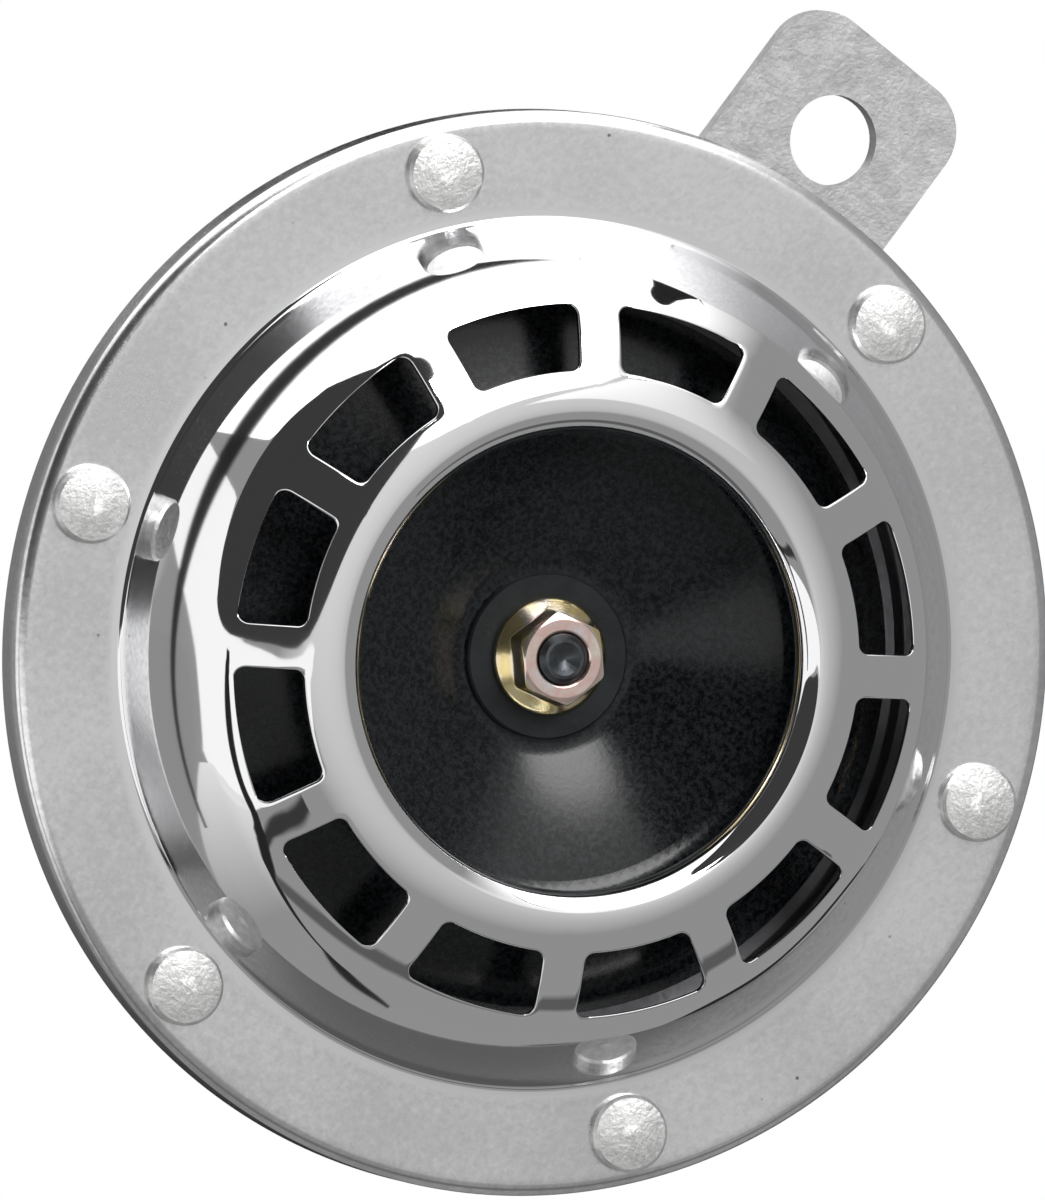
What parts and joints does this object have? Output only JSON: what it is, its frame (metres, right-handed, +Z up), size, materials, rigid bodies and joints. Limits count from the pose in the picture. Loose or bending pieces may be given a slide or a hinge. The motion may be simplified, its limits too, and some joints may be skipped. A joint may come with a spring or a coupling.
{
  "type": "car horn",
  "caption": "Disc-shaped electric car horn with a slotted chromed cover, a dished tone disc behind it, a stepped rear housing and a strap bracket",
  "frame": {"origin": "middle of the hole in the mounting bracket, halfway through its sheet", "axes": "the horn's mouth looks along -Y, +Z points up the bracket, away from the horn"},
  "size_m": [0.13, 0.059, 0.1539],
  "materials": {
    "cover_chrome": "bright chrome plate on pressed steel, slightly satin",
    "rivet_zinc": "dull bright zinc plate",
    "gasket_fibre": "dark pressed fibre",
    "diaphragm_steel": "spring steel sheet, oiled",
    "housing_black": "black stove enamel",
    "disc_black": "satin black paint",
    "washer_black": "black phosphate",
    "nut_yellow_zinc": "yellow passivated zinc plate",
    "stud_steel": "turned steel",
    "bare_steel": "plain steel",
    "bobbin_nylon": "natural nylon",
    "coil_copper": "enamelled copper wire",
    "insulator_paper": "paper laminate",
    "contact_brass": "plain brass",
    "contact_tungsten": "tungsten",
    "gasket_rubber": "black rubber",
    "terminal_plastic": "moulded black plastic",
    "bracket_zinc": "dull zinc plate, mottled"
  },
  "bodies": {
    "horn": {"grille_cover": "cover_chrome", "cover_rivets": "rivet_zinc", "front_gasket": "gasket_fibre", "rear_gasket": "gasket_fibre", "diaphragm": "diaphragm_steel", "housing": "housing_black", "pole_core": "stud_steel", "magnet_yoke": "bare_steel", "coil_bobbin": "bobbin_nylon", "coil_winding": "coil_copper", "lead_wire": "coil_copper", "contact_base": "bare_steel", "contact_insulator_lower": "insulator_paper", "fixed_contact_arm": "contact_brass", "contact_insulator_middle": "insulator_paper", "contact_leaf_spring": "contact_brass", "contact_insulator_upper": "insulator_paper", "fixed_contact_point": "contact_tungsten", "moving_contact_point": "contact_tungsten", "contact_rivets": "bare_steel", "adjusting_screw": "contact_brass", "adjuster_tip": "bobbin_nylon", "adjuster_bush": "contact_brass", "adjuster_lock_nut": "nut_yellow_zinc", "terminal_gasket": "gasket_rubber", "terminal_block": "terminal_plastic", "terminal_strip_inner": "insulator_paper", "spade_terminals": "contact_brass", "terminal_rivets": "contact_brass", "mounting_bracket": "bracket_zinc", "bracket_lock_washer": "rivet_zinc", "bracket_nut": "rivet_zinc"},
    "vibrator": {"tone_disc": "disc_black", "tone_disc_washer": "washer_black", "flange_nut": "nut_yellow_zinc", "centre_stud": "stud_steel", "tone_disc_spacer": "bare_steel", "front_clamp_washer": "bare_steel", "rear_clamp_washer": "bare_steel", "armature": "bare_steel"}
  },
  "joints": [
    {"name": "diaphragm_travel", "type": "slide", "parent": "horn", "child": "vibrator", "axis": [0, -1, 0], "range_m": [-0.0004, 0.0006], "stiffness_N_per_m": 60000, "deforming": ["diaphragm", "contact_leaf_spring"]}
  ]
}
